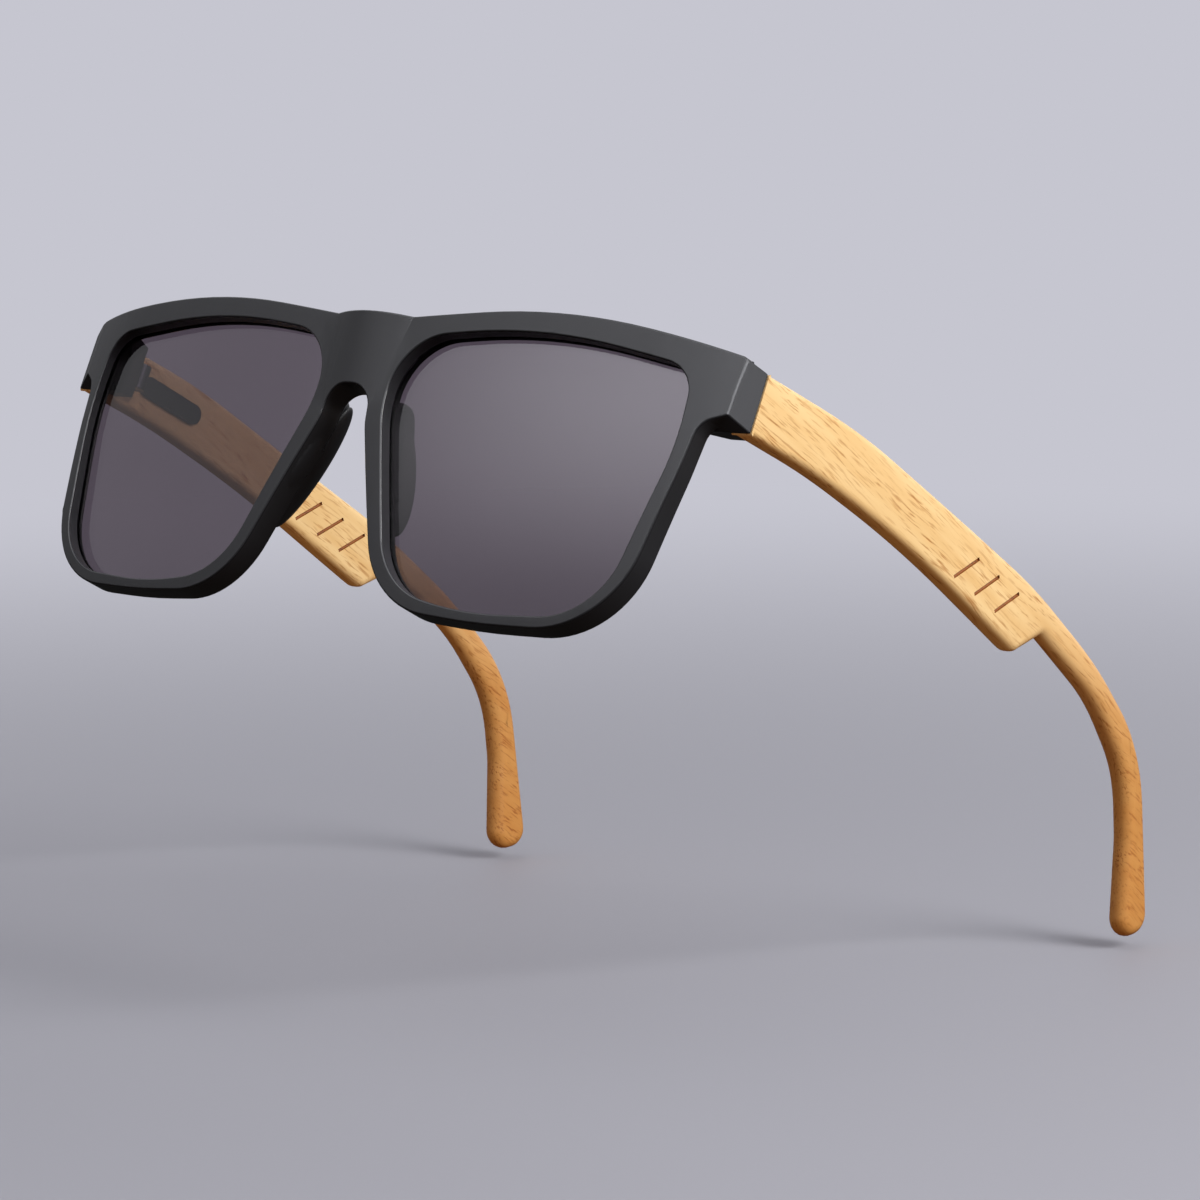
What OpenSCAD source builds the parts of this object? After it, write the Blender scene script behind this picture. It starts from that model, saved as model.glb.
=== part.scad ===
// Sunglasses: a moulded black front with tinted lenses and wooden temples on sprung hinges.
// Millimetres. X runs across the face (wearer's left is +X), the front faces -Y, Z is up.
// The rims and the temple tips stand on z = 0, and the origin is under the middle of the whole.

/* [Front] */
// Radius of the curve that the front and the lenses share
face_r = 375; // [250:5:600]
// Height of that curve's foremost point, from the line of the lens tops
face_pole = -9.5; // [-20:0.5:5]
// Width of the front from a lens opening out to the front's outer corner
corner_w = 6.2; // [5:0.1:7]
// Width of the front from a lens opening out to the temple's outer face
end_w = 9.67; // [9:0.05:11]
// Distance inside the lens opening's outer side where the ends begin to sweep back
sweep_in = 8.4; // [2:0.1:14]
// Radius of the ends' sweep
sweep_r = 50; // [40:1:90]
// Thickness of the rims, front to back
rim_t = 4.4; // [4:0.1:6]
// Height of the rim's face above the lens
rim_top = 3.6; // [2.5:0.1:6]
// Height of the rim's face below the lens
rim_bottom = 1.7; // [1.4:0.1:4]
// Width of the rim's face at the lens's outer side
rim_outer = 1.7; // [1.4:0.1:2.4]
// Width of the rim's face at the nose
rim_nasal = 2.8; // [2:0.1:3.2]
// Height of the outer corner's top, from the line of the lens tops
corner_z = 0.75; // [-0.5:0.05:2]
// Height of the end piece at the outer corner
end_h = 9.7; // [8.5:0.1:11]
// Height of the bridge's top edge, from the line of the lens tops
bridge_top = 1.1; // [0:0.1:2.5]
// Height of the bridge, from its top edge down to the nose arch
bridge_h = 12.3; // [9:0.1:14]
// How far the bridge saddle stands forward at its top
saddle_rise = 1.9; // [0.8:0.1:3]
// How far the saddle runs down past the nose arch
saddle_drop = 8; // [5:0.5:10]
// Distance below the lens tops where the rim's outer and nose sides are narrowest
waist_z = 19.3; // [16:0.1:22]
// How far the moulded nose pads reach behind the rim
pad_reach = 4; // [2:0.1:5]
// Distance of the nose pads' middle below the lens tops
pad_z = 21; // [18:0.5:25]
// Length of the nose pads
pad_l = 19; // [14:0.5:22]

/* [Lenses] */
// Width of the lens opening
lens_w = 55.4; // [52:0.2:60]
// Height of the lens opening
lens_h = 45.7; // [40:0.5:48]
// Distance between the two lens openings
bridge_w = 16; // [14:0.5:20]
// Distance of the lens opening's widest height below its top
widest_z = 15.5; // [13:0.1:18]
// How far the opening's lower outer corner is drawn in
cheek_cut = 5.4; // [4:0.1:7]
// How far the opening's lower nose corner is drawn in
nose_cut = 10; // [8:0.1:12]
// Thickness of a lens
lens_t = 1.2; // [0.8:0.1:1.4]
// Depth of the lens behind the rim's face
lens_set = 2.5; // [1:0.1:2.6]
// How far the lens enters the groove in the rim
lens_lip = 0.7; // [0.4:0.1:0.9]

/* [Temples] */
// Distance of the joint behind the front's foremost curve
joint_y = 11.25; // [10.75:0.05:12.5]
// Thickness of a temple
temple_t = 4; // [3.8:0.1:5]
// Height of a temple at the joint
temple_h = 10; // [9:0.1:11]
// Length of a temple, from the joint to the back of its tip
temple_l = 137.3; // [130:0.5:150]
// Distance of a temple's highest point behind the joint
crest_y = 24; // [15:0.5:35]
// Rise of that point above the joint
crest_h = 0.9; // [0:0.1:2]
// Distance behind the joint where the top edge begins to fall faster
fall_y = 80; // [65:0.5:90]
// Fall of the top edge by there
fall_h = 4.1; // [2:0.1:7]
// Length of the ear end, from its first bend to the tip
ear_l = 36; // [30:0.5:44]
// Fall of the top edge by the first bend
ear_fall = 8.5; // [6:0.1:10]
// Distance of the second bend ahead of the tip
bend_l = 16; // [13:0.5:20]
// Fall of the top edge by the second bend
bend_fall = 16; // [14:0.5:18]
// Height from a temple's top at the joint down to the tip
tip_fall = 43.4; // [38:0.2:46]
// Splay of a temple at the joint, in degrees
temple_splay = 2.74; // [1.5:0.1:4]
// Radius of a temple's bow, seen from above
temple_bow = 1260; // [800:10:2500]
// Distance of the step behind the joint
step_y = 77.5; // [70:0.5:84]
// Height of the step under the temple
step_h = 5.4; // [3:0.1:7]
// Fall of the step's foot below the temple's lower edge at the joint
step_fall = 5.9; // [4:0.1:7]
// Height of the ear end where it leaves the step
ear_h = 5.1; // [4:0.1:6.5]
// Radius of the round tip
tip_r = 3.5; // [2.8:0.1:4]
// Distance of the first slanted groove behind the joint
groove_y = 58.5; // [40:0.5:60]
// Distance between the slanted grooves
groove_pitch = 6.4; // [4:0.1:7]
// Distance of the first groove's middle below the temple's top at the joint
groove_z = 8.4; // [7:0.1:9.5]
// Length of a slanted groove
groove_l = 7.2; // [4:0.1:8]
// Radius of a slanted groove's cross-section
groove_r = 0.4; // [0.3:0.05:0.8]

/* [Hinges] */
// Height of the hinge's middle, from the line of the lens tops
hinge_z = -5.4; // [-6:0.1:-5.2]
// Distance of the hinge axis behind the joint
hinge_back = 7.5; // [5.5:0.05:8.5]
// Radius of the knuckles
knuckle_r = 1.6; // [1.4:0.05:1.8]
// Height of the middle knuckle
eye_t = 1.6; // [1.2:0.1:2]
// Height of each outer knuckle
fork_t = 1.3; // [1:0.1:1.6]
// Radius of the hinge screw's shank
screw_r = 0.6; // [0.5:0.05:0.7]
// Radius of the hinge screw's head
screw_head_r = 1.1; // [0.9:0.05:1.2]
// Thickness of the hinge screw's head
screw_head_t = 0.5; // [0.3:0.05:0.7]
// Gap between the knuckles and the end piece's hinge block
block_gap = 0.65; // [0.4:0.05:0.9]
// Thickness of the fork's base plate
base_t = 1; // [0.8:0.1:1.2]
// Radius of the fork screws' shanks
fork_screw_r = 0.4; // [0.3:0.05:0.45]
// Length of the fork screws below their heads
fork_screw_l = 3.4; // [2.5:0.1:3.6]

/* [Spring boxes] */
// Length of a spring box
box_l = 15.6; // [15:0.1:18]
// Height of a spring box
box_h = 3.4; // [3.2:0.1:4]
// Depth of a spring box
box_d = 3.2; // [3.2:0.1:3.6]
// How far a spring box stands out of the temple
box_proud = 0.8; // [0.6:0.1:1.2]
// Radius of the bore for the slider and the spring
bore_r = 1.1; // [1:0.05:1.2]
// Radius of the slider's rod
rod_r = 0.5; // [0.4:0.05:0.55]
// Length of the slider's piston
piston_l = 2.8; // [2.4:0.1:3.2]
// Length of the guide bush
bush_l = 1; // [0.8:0.1:1.4]
// Length of the spring at rest
spring_l = 8; // [7.5:0.1:8.3]
// Radius of the spring wire
wire_r = 0.15; // [0.1:0.01:0.16]
// Turns of the spring
spring_turns = 10; // [8:1:11]
// Length of the end nut
nut_l = 1.1; // [0.8:0.1:1.4]

/* [Fits] */
// Running clearance of pins and pistons
run_gap = 0.05; // [0.02:0.01:0.08]
// Clearance of pieces that are let into others
seat_gap = 0.05; // [0.03:0.01:0.1]
// Gap between a temple and its end piece
joint_gap = 0.12; // [0.1:0.01:0.2]

/* [Hidden] */
$fn = 48;
left = 1;
right = -1;
// How far the steps of a rounded corner may stray from its arc, and steps of the large round surfaces
arc_error = 0.015;
face_fn = 360;
bow_fn = 1080;
// A length that reaches right through the front or a temple
through = 40;

black = [0.07, 0.07, 0.075];
smoke = [0.32, 0.29, 0.35, 0.6];
wood = [0.86, 0.62, 0.33];
gunmetal = [0.25, 0.25, 0.27];
steel = [0.7, 0.7, 0.72];

// Edges of the wearer's left lens opening
lens_in = bridge_w / 2;
lens_out = lens_in + lens_w;
lens_mid = lens_in + lens_w / 2;
lens_top = 0.3;
lens_bottom = lens_top - lens_h;
half_w = lens_out + corner_w;
joint_w = 2 * (lens_out + end_w);
arch_top = bridge_top - bridge_h;
corner_low = corner_z - end_h;

// Outline of the lens opening: corners in X and Z, with the radius that rounds each, limited by its sides
opening_corners = [
    [lens_in - 0.6, lens_top - 2.9, min(10, 1.13 * (widest_z - 6.5))],
    [lens_mid - 1, lens_top + 0.7, 110],
    [lens_out - 0.7, lens_top - 3.1, 5.5],
    [lens_out + 0.2, lens_top - widest_z, min(45, 6 * (widest_z - 8))],
    [lens_out - cheek_cut, lens_bottom + 1.5, 13.5],
    [lens_mid - 1, lens_bottom - 0.6, min(60, 85 - 2.5 * nose_cut)],
    [lens_in + nose_cut, lens_bottom + 1.8, 14],
    [lens_in - 0.3, lens_top - widest_z + 0.5, min(17, 37 - 2 * nose_cut)]];

// Outline of the front's left half, from the middle of the brow round to the nose arch
rim_corners = [
    [0, bridge_top, 0], [lens_in, bridge_top, 12], [lens_mid + 2, lens_top + rim_top + 0.8, 130],
    [half_w, corner_z, 0], [half_w, corner_low, 0], [lens_out + rim_outer + 0.9, corner_low - 2.1, 4],
    [lens_out + rim_outer, lens_top - waist_z, 50],
    [lens_out + rim_outer - cheek_cut + 0.8, lens_bottom - rim_bottom + 1, 17],
    [lens_mid + 1, lens_bottom - rim_bottom - 0.4, 110],
    [lens_in - rim_nasal + nose_cut + 1.4, lens_bottom - rim_bottom + 0.4, 16],
    [lens_in - rim_nasal - 0.4, lens_top - waist_z + 2, min(10, 20 - nose_cut)],
    [lens_in - rim_nasal - 0.9, arch_top, 3.9], [0, arch_top, 0]];

// Outline of a temple seen from the side: corners in Y and Z, with the radius that rounds each
temple_top = -1;
temple_low = temple_top - temple_h;
temple_end = joint_y + temple_l;
step_at = joint_y + step_y;
step_low = temple_low - step_fall;
step_top = step_low + step_h;
ear_y = step_at + step_h + 0.8;
tip_z = temple_top - tip_fall;
temple_corners = [
    [joint_y, temple_top, 0.4], [joint_y + crest_y, temple_top + crest_h, 150],
    [joint_y + fall_y, temple_top - fall_h, 120], [temple_end - ear_l, temple_top - ear_fall, 80],
    [temple_end - bend_l, temple_top - bend_fall, 30],
    [temple_end + 1.5, tip_z, tip_r], [temple_end - 5.8, tip_z - 4.3, tip_r],
    [temple_end - bend_l + 3.4, tip_z + 11.4, 18],
    [temple_end - bend_l - 2.6, temple_top - bend_fall - ear_h - 1.2, 22],
    [temple_end - ear_l + 3, temple_top - ear_fall - ear_h - 1.1, 40],
    [ear_y, step_top, 1.2], [step_at, step_low, 2.6],
    [(joint_y + step_at) / 2 + 5, temple_low - 1, min(300, 1770 / step_fall)],
    [joint_y + crest_y - 6, temple_low + 0.4, 200],
    [joint_y, temple_low, 0.4]];

// The temple's outer face is part of a large upright cylinder
splay_run = temple_bow * sin(temple_splay);
bow_x = joint_w / 2 - temple_bow * cos(temple_splay);
bow_y = joint_y + splay_run;
function outer_x(y) = bow_x + sqrt(temple_bow * temple_bow - (y - bow_y) * (y - bow_y));
function inner_x(y) = outer_x(y) - temple_t;

// The hinge axis stands just inside the temple's inner face. Behind it, the hinge follows the temple's splay.
hinge_y = joint_y + hinge_back;
hinge_x = inner_x(joint_y) - knuckle_r + 0.03;
box_mid_y = hinge_y + box_l / 2;
hinge_turn = asin((bow_y - box_mid_y) / temple_bow);
stack_h = eye_t + 2 * (run_gap + fork_t);

// Places along the spring box, from the hinge axis, and across it
box_start = knuckle_r + 1.1;
wood_in = (inner_x(hinge_y + box_start) - hinge_x) * cos(hinge_turn) - box_start * sin(hinge_turn);
box_in = wood_in - box_proud;
bore_in = box_in + box_d / 2;
piston_r = bore_r - run_gap;
piston_start = box_start - 0.3;
piston_end = piston_start + piston_l;
bush_start = piston_end + 0.1;
spring_start = bush_start + bush_l + seat_gap;
nut_start = spring_start + spring_l + seat_gap;
bore_end = box_start + box_l - 1;
coil_r = bore_r - wire_r - 0.1;
neck_w = 2 * piston_r;
slot_h = 2 * max(eye_t / 2, piston_r) + 0.2;

// Sweep of the ends: the middle of its arc across the front, and its distance from the face's own axis
sweep_x = lens_out - sweep_in;
sweep_turn = asin(sweep_x / face_r);
sweep_mid = (face_r - sweep_r) * sin(sweep_turn);
sweep_out = (face_r - sweep_r) * cos(sweep_turn);

// End piece: its outer corner, its seat for the temple, and the flat that the fork's plate is let into
corner_y = face_r - sweep_out - sqrt(sweep_r * sweep_r - (half_w - sweep_mid) * (half_w - sweep_mid));
seat_y = joint_y - joint_gap;
block_out = inner_x(joint_y) - joint_gap;
flat_y = hinge_y - knuckle_r - block_gap;
arm_half = knuckle_r - 0.3;
fork_head_r = fork_screw_r + 0.3;
fork_head_t = 0.4;
plate_half = max(arm_half, fork_head_r + 0.3);
plate_out = hinge_x + plate_half;
plate_in = hinge_x - plate_half;
fork_screw_z = stack_h / 2 + fork_head_r + 0.15;
plate_h = 2 * (fork_screw_z + fork_head_r + 0.1);

// Bridge saddle: a leaning cylinder whose face meets the rims' face at the saddle's two creases
saddle_half = lens_in;
saddle_block = saddle_half + 1;
saddle_r = (saddle_half * saddle_half + saddle_rise * saddle_rise) / (2 * saddle_rise);
saddle_lean = 4.1;

// Direction of a line, as a vector of length 1
function unit(v) = v / norm(v);

// Arc that rounds corner p between its neighbours a and b
function corner_arc(a, p, b, r) =
    let (
        u = unit(a - p), v = unit(b - p), half = acos(u * v) / 2,
        centre = p + unit(u + v) * r / sin(half),
        from = p + u * r / tan(half) - centre, to = p + v * r / tan(half) - centre,
        start = atan2(from.y, from.x), turn = atan2(cross(from, to), from * to),
        steps = max(2, ceil(abs(turn) / (2 * acos(1 - arc_error / r)))))
    [for (i = [0:steps]) centre + r * [cos(start + turn * i / steps), sin(start + turn * i / steps)]];

function flat_point(c) = [c.x, c.y];

// Outline through a list of corners, each rounded by its own radius
function rounded(corners) = [
    for (i = [0:len(corners) - 1])
        let (
            n = len(corners), c = corners[i],
            before = flat_point(corners[(i + n - 1) % n]), after = flat_point(corners[(i + 1) % n]),
            points = c.z == 0 ? [flat_point(c)] : corner_arc(before, flat_point(c), after, c.z))
            each points];

// Outline moved outwards by d, for an outline that runs clockwise
function grown(points, d) = [
    for (i = [0:len(points) - 1])
        let (
            n = len(points),
            along = unit(unit(points[i] - points[(i + n - 1) % n]) + unit(points[(i + 1) % n] - points[i])))
            points[i] + d * [-along.y, along.x]];

// Mirror image of an outline's points, without the two that lie on the middle line
function mirrored(points) = [for (i = [len(points) - 2:-1:1]) [-points[i].x, points[i].y]];

opening_line = rounded(opening_corners);
rim_half_line = rounded(rim_corners);
rim_line = concat(rim_half_line, mirrored(rim_half_line));
temple_line = rounded(temple_corners);

// Where the whole stands: its lowest point and the middle of its depth
lowest = function (points) min([for (p = points) p.y]);
floor_z = min(lowest(rim_line), lowest(temple_line));
mid_y = (max([for (p = temple_line) p.x]) - saddle_rise) / 2;

// Put the finished pieces on the floor, with the origin under their middle
module placed() {
    translate([0, -mid_y, -floor_z]) children();
}

// A piece made for the wearer's left side, mirrored for the right
module sided(side) {
    placed() mirror([side == left ? 0 : 1, 0, 0]) children();
}

// The hinge's own frame on the left: Y runs back along the temple, X points out of it
module at_hinge() {
    translate([hinge_x, hinge_y, hinge_z]) rotate([0, 0, -hinge_turn]) children();
}

// Prism of an outline in X and Z, right through the front
module front_prism(points) {
    translate([0, through / 2, 0]) rotate([90, 0, 0]) linear_extrude(through) polygon(points);
}

// Prism of an outline in Y and Z, right through a temple
module side_prism(points, from, reach) {
    translate([from, 0, 0]) rotate([90, 0, 90]) linear_extrude(reach) polygon(points);
}

// Ball whose surface lies at a depth behind the front's face
module face_ball(depth) {
    translate([0, face_r, face_pole]) sphere(face_r - depth, $fn = face_fn);
}

// Body whose surface is the front's face: a ball's, with both ends swept back
module face_skin() {
    core = sweep_out - through;
    translate([0, face_r, face_pole]) rotate([0, 90, 0]) rotate_extrude($fn = face_fn) union() {
        intersection() {
            circle(face_r, $fn = 2 * face_fn);
            translate([core, -sweep_x]) square([face_r, 2 * sweep_x]);
        }
        for (m = [0, 1]) mirror([0, m]) {
            intersection() {
                translate([sweep_out, sweep_mid]) circle(sweep_r, $fn = face_fn);
                translate([sweep_out, sweep_x]) square([2 * through, 2 * through]);
            }
            translate([core, sweep_x]) square([through, sweep_mid + sweep_r - sweep_x]);
        }
    }
}

// Slice of a lens-shaped prism between two depths behind the front's face
module face_slice(points, from, to) {
    difference() {
        intersection() {
            front_prism(points);
            face_ball(from);
        }
        face_ball(to);
    }
}

// Both rims and the bridge, as one plate with the front's face
module rim_plate() {
    difference() {
        intersection() {
            front_prism(rim_line);
            face_skin();
        }
        face_ball(rim_t);
    }
}

// Cylinder along Y, from one place to another
module rod_y(r, from, to) {
    translate([0, from, 0]) rotate([-90, 0, 0]) cylinder(r = r, h = to - from);
}

// Capsule outline in Y and Z, as thick as asked along X
module capsule(l, h, d) {
    rotate([90, 0, 90]) linear_extrude(d) union() {
        translate([h / 2, -h / 2]) square([l - h, h]);
        translate([h / 2, 0]) circle(h / 2);
        translate([l - h / 2, 0]) circle(h / 2);
    }
}

// Left end piece: cut to the temple's end outside, and drawn out into the hinge block inside
module end_piece() {
    block_in = lens_out - 2.5;
    intersection() {
        translate([0, 0, -through / 2]) linear_extrude(through) polygon([
            [block_in, 0], [half_w, 0], [half_w, corner_y], [joint_w / 2, seat_y],
            [block_out, seat_y], [block_out, flat_y], [plate_in - 1.2, flat_y], [block_in, rim_t + 4]]);
        side_prism([
            [0, corner_z], [corner_y, corner_z], [seat_y, temple_top], [flat_y, temple_top],
            [flat_y, temple_low + 1], [seat_y, temple_low], [corner_y, corner_low], [0, corner_low]],
            0, half_w * 2);
        face_skin();
    }
}

// Bridge saddle that stands forward between the lenses
module saddle() {
    intersection() {
        front_prism(rim_line);
        translate([0, saddle_r - saddle_rise + 0.15, bridge_top]) rotate([saddle_lean, 0, 0])
            translate([0, 0, -2 * bridge_h]) cylinder(r = saddle_r, h = 3 * bridge_h, $fn = 180);
        translate([-saddle_block, -through / 2, arch_top - saddle_drop])
            cube([2 * saddle_block, through / 2 + rim_t / 2, bridge_h + 2 * saddle_drop]);
    }
}

// Left nose pad, moulded onto the back of the rim
module nose_pad() {
    translate([lens_in + 0.9, rim_t + 0.9, lens_top - pad_z]) rotate([0, -17, -26])
        scale([2.1, pad_reach + 0.8, pad_l / 2]) sphere(1);
}

// Groove and opening for the left lens
module lens_cut() {
    front_prism(opening_line);
    face_slice(grown(opening_line, lens_lip + 0.1), lens_set - seat_gap, lens_set + lens_t + seat_gap);
}

// Seat for the left temple, and the pocket and screw holes for the left hinge fork
module fork_cut() {
    translate([block_out, seat_y, -through / 2]) cube(through);
    translate([plate_in - seat_gap, flat_y - base_t - seat_gap, hinge_z - plate_h / 2 - seat_gap])
        cube([plate_out - plate_in + 2 * seat_gap, through, plate_h + 2 * seat_gap]);
    for (z = [-fork_screw_z, fork_screw_z])
        translate([hinge_x, 0, hinge_z + z])
            rod_y(fork_screw_r + seat_gap / 2, flat_y - fork_screw_l - 0.2, flat_y);
}

module front_frame() {
    color(black) placed() difference() {
        union() {
            rim_plate();
            saddle();
            for (m = [0, 1]) mirror([m, 0, 0]) {
                end_piece();
                nose_pad();
            }
        }
        for (m = [0, 1]) mirror([m, 0, 0]) {
            lens_cut();
            fork_cut();
        }
    }
}

module lens(side) {
    color(smoke) sided(side) face_slice(grown(opening_line, lens_lip), lens_set, lens_set + lens_t);
}

// Three slanted grooves on a face of the left temple
module grooves(face_x) {
    for (i = [0:2]) {
        y = joint_y + groove_y + i * groove_pitch;
        z = temple_top - groove_z - 0.5 * i;
        x = face_x == 0 ? outer_x(y) + 0.05 : inner_x(y) - 0.05;
        translate([x, y, z]) rotate([-45, 0, 0]) cylinder(r = groove_r, h = groove_l, center = true);
    }
}

module temple(side) {
    color(wood) sided(side) difference() {
        intersection() {
            side_prism(temple_line, joint_w / 2 - 2 * temple_t - 4, through);
            translate([bow_x, bow_y, -through * 2]) difference() {
                cylinder(r = temple_bow, h = through * 3, $fn = bow_fn);
                cylinder(r = temple_bow - temple_t, h = through * 3, $fn = bow_fn);
            }
        }
        at_hinge() {
            // Pocket for the spring box
            translate([box_in, box_start - seat_gap, 0])
                capsule(box_l + 2 * seat_gap, box_h + 2 * seat_gap, box_d + seat_gap);
            // Slot for the slider's neck and piston, open at the joint
            translate([0, -hinge_back - 1, -slot_h / 2])
                cube([bore_in + piston_r + 0.2, hinge_back + 1 + box_start + box_h, slot_h]);
        }
        grooves(0);
        grooves(1);
    }
}

// Knuckle with its arm, as a plate of one thickness
module fork_arm(z) {
    translate([0, 0, z]) linear_extrude(fork_t) union() {
        circle(knuckle_r);
        translate([-arm_half, flat_y - hinge_y]) square([2 * arm_half, hinge_y - flat_y]);
    }
}

module hinge_fork(side) {
    arm_z = eye_t / 2 + run_gap;
    color(gunmetal) sided(side) difference() {
        union() {
            translate([plate_in, flat_y - base_t, hinge_z - plate_h / 2])
                cube([plate_out - plate_in, base_t, plate_h]);
            translate([hinge_x, hinge_y, hinge_z]) {
                fork_arm(arm_z);
                fork_arm(-arm_z - fork_t);
            }
        }
        translate([hinge_x, hinge_y, hinge_z]) {
            cylinder(r = screw_r + seat_gap / 2, h = 2 * stack_h, center = true);
            translate([0, 0, stack_h / 2 - screw_head_t - seat_gap])
                cylinder(r = screw_head_r + seat_gap, h = stack_h);
        }
        for (z = [-fork_screw_z, fork_screw_z])
            translate([hinge_x, 0, hinge_z + z])
                rod_y(fork_screw_r + seat_gap / 2, 0, flat_y + base_t);
    }
}

module fork_screws(side) {
    color(steel) sided(side) for (z = [-fork_screw_z, fork_screw_z])
        translate([hinge_x, 0, hinge_z + z]) {
            rod_y(fork_screw_r, flat_y - fork_screw_l, flat_y);
            rod_y(fork_head_r, flat_y, flat_y + fork_head_t);
        }
}

module hinge_screw(side) {
    color(steel) sided(side) translate([hinge_x, hinge_y, hinge_z]) {
        translate([0, 0, -stack_h / 2]) cylinder(r = screw_r, h = stack_h - screw_head_t);
        translate([0, 0, stack_h / 2 - screw_head_t]) cylinder(r = screw_head_r, h = screw_head_t);
    }
}

module slider(side) {
    color(gunmetal) sided(side) at_hinge() difference() {
        union() {
            translate([0, 0, -eye_t / 2]) linear_extrude(eye_t) union() {
                circle(knuckle_r);
                polygon([
                    [0, -knuckle_r], [knuckle_r, -knuckle_r], [bore_in + piston_r, piston_start - neck_w / 2],
                    [bore_in + piston_r, piston_start + 0.2], [bore_in - piston_r, piston_start + 0.2],
                    [0, knuckle_r]]);
            }
            translate([bore_in, 0, 0]) {
                rod_y(piston_r, piston_start, piston_end);
                rod_y(rod_r, piston_end, nut_start + nut_l);
            }
        }
        cylinder(r = screw_r + run_gap, h = 2 * stack_h, center = true);
    }
}

module spring_box(side) {
    color(gunmetal) sided(side) at_hinge() difference() {
        translate([box_in, box_start, 0]) capsule(box_l, box_h, box_d);
        translate([bore_in, 0, 0]) rod_y(bore_r, 0, bore_end);
        // Notch for the slider's neck
        translate([box_in - 1, box_start - 1, -eye_t / 2 - 0.2])
            cube([box_d + 2, 1 + 0.5, eye_t + 0.4]);
    }
}

module guide_bush(side) {
    color(steel) sided(side) at_hinge() translate([bore_in, 0, 0]) difference() {
        rod_y(bore_r - seat_gap / 5, bush_start, bush_start + bush_l);
        rod_y(rod_r + run_gap, bush_start - 1, bush_start + bush_l + 1);
    }
}

// Sides and rings per turn of the spring's wire
wire_sides = 6;
turn_rings = 8;
spring_rings = spring_turns * turn_rings;
coil_rise = (spring_l - 2 * wire_r) / spring_rings;

// Corner of the spring's wire: ring i, side j
function wire_point(i, j) =
    let (
        a = 360 * i / turn_rings, b = 360 * j / wire_sides,
        out = [cos(a), sin(a), 0],
        along = unit([-sin(a) * coil_r, cos(a) * coil_r, coil_rise * turn_rings / (2 * PI)]),
        up = cross(out, along))
    coil_r * out + [0, 0, wire_r + coil_rise * i] + wire_r * (cos(b) * out + sin(b) * up);

function wire_index(i, j) = i * wire_sides + j % wire_sides;

wire_points = [for (i = [0:spring_rings]) for (j = [0:wire_sides - 1]) wire_point(i, j)];
wire_skin = [
    for (i = [0:spring_rings - 1]) for (j = [0:wire_sides - 1]) each [
        [wire_index(i, j), wire_index(i + 1, j), wire_index(i + 1, j + 1)],
        [wire_index(i, j), wire_index(i + 1, j + 1), wire_index(i, j + 1)]]];
wire_ends = [
    for (j = [1:wire_sides - 2]) each [
        [wire_index(0, 0), wire_index(0, j), wire_index(0, j + 1)],
        [wire_index(spring_rings, 0), wire_index(spring_rings, j + 1), wire_index(spring_rings, j)]]];
turn_gap = min([
    for (i = [turn_rings:spring_rings]) norm(wire_point(i, 4.5) - wire_point(i - turn_rings, 1.5))]);
echo(least_gap_between_turns = turn_gap);

module flex_spring(side) {
    color(steel) sided(side) at_hinge() translate([bore_in, spring_start, 0]) rotate([-90, 0, 0])
        polyhedron(wire_points, concat(wire_skin, wire_ends));
}

module end_nut(side) {
    color(steel) sided(side) at_hinge() translate([bore_in, 0, 0]) difference() {
        rod_y(bore_r - 3 * run_gap, nut_start, nut_start + nut_l);
        rod_y(rod_r + seat_gap / 5, nut_start - 1, nut_start + nut_l + 1);
    }
}

front_frame();
lens(left);  // lens_left
lens(right);  // lens_right
temple(left);  // temple_left
temple(right);  // temple_right
hinge_fork(left);  // hinge_fork_left
hinge_fork(right);  // hinge_fork_right
fork_screws(left);  // fork_screws_left
fork_screws(right);  // fork_screws_right
hinge_screw(left);  // hinge_screw_left
hinge_screw(right);  // hinge_screw_right
slider(left);  // slider_left
slider(right);  // slider_right
spring_box(left);  // spring_box_left
spring_box(right);  // spring_box_right
guide_bush(left);  // guide_bush_left
guide_bush(right);  // guide_bush_right
flex_spring(left);  // flex_spring_left
flex_spring(right);  // flex_spring_right
end_nut(left);  // end_nut_left
end_nut(right);  // end_nut_right
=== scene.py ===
import math

import bmesh
import bpy
from mathutils import Euler, Matrix, Vector


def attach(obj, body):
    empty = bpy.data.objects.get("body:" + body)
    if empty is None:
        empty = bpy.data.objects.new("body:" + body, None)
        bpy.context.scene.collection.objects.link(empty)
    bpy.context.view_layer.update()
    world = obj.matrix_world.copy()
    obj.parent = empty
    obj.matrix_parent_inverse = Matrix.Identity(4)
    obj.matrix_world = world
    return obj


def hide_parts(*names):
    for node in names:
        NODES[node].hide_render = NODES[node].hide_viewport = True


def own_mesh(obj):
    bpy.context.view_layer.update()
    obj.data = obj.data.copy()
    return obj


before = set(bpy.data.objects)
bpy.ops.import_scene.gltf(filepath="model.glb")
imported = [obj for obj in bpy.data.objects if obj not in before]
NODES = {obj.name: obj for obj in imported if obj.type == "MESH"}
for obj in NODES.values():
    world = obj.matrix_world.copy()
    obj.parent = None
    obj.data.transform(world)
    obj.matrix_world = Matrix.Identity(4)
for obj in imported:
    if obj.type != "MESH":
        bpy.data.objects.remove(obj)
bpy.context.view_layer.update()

bl_info = {
    "name": "Sunglasses with wooden temples",
    "version": (1, 0, 0),
    "blender": (4, 5, 0),
    "location": "View3D > Sidebar > Sunglasses",
    "description": "Rounded pieces, finishes, stage and camera for a pair of sunglasses",
    "category": "Object",
}

SIDES = {"left": 1, "right": -1}
MM = 0.001

# Sizes are in mm from the part's own zero, and these are its place in the frame:
# the front's foremost curve and the line of the lens tops
ZERO_Y = -73.3726
ZERO_Z = 47.3687
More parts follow.
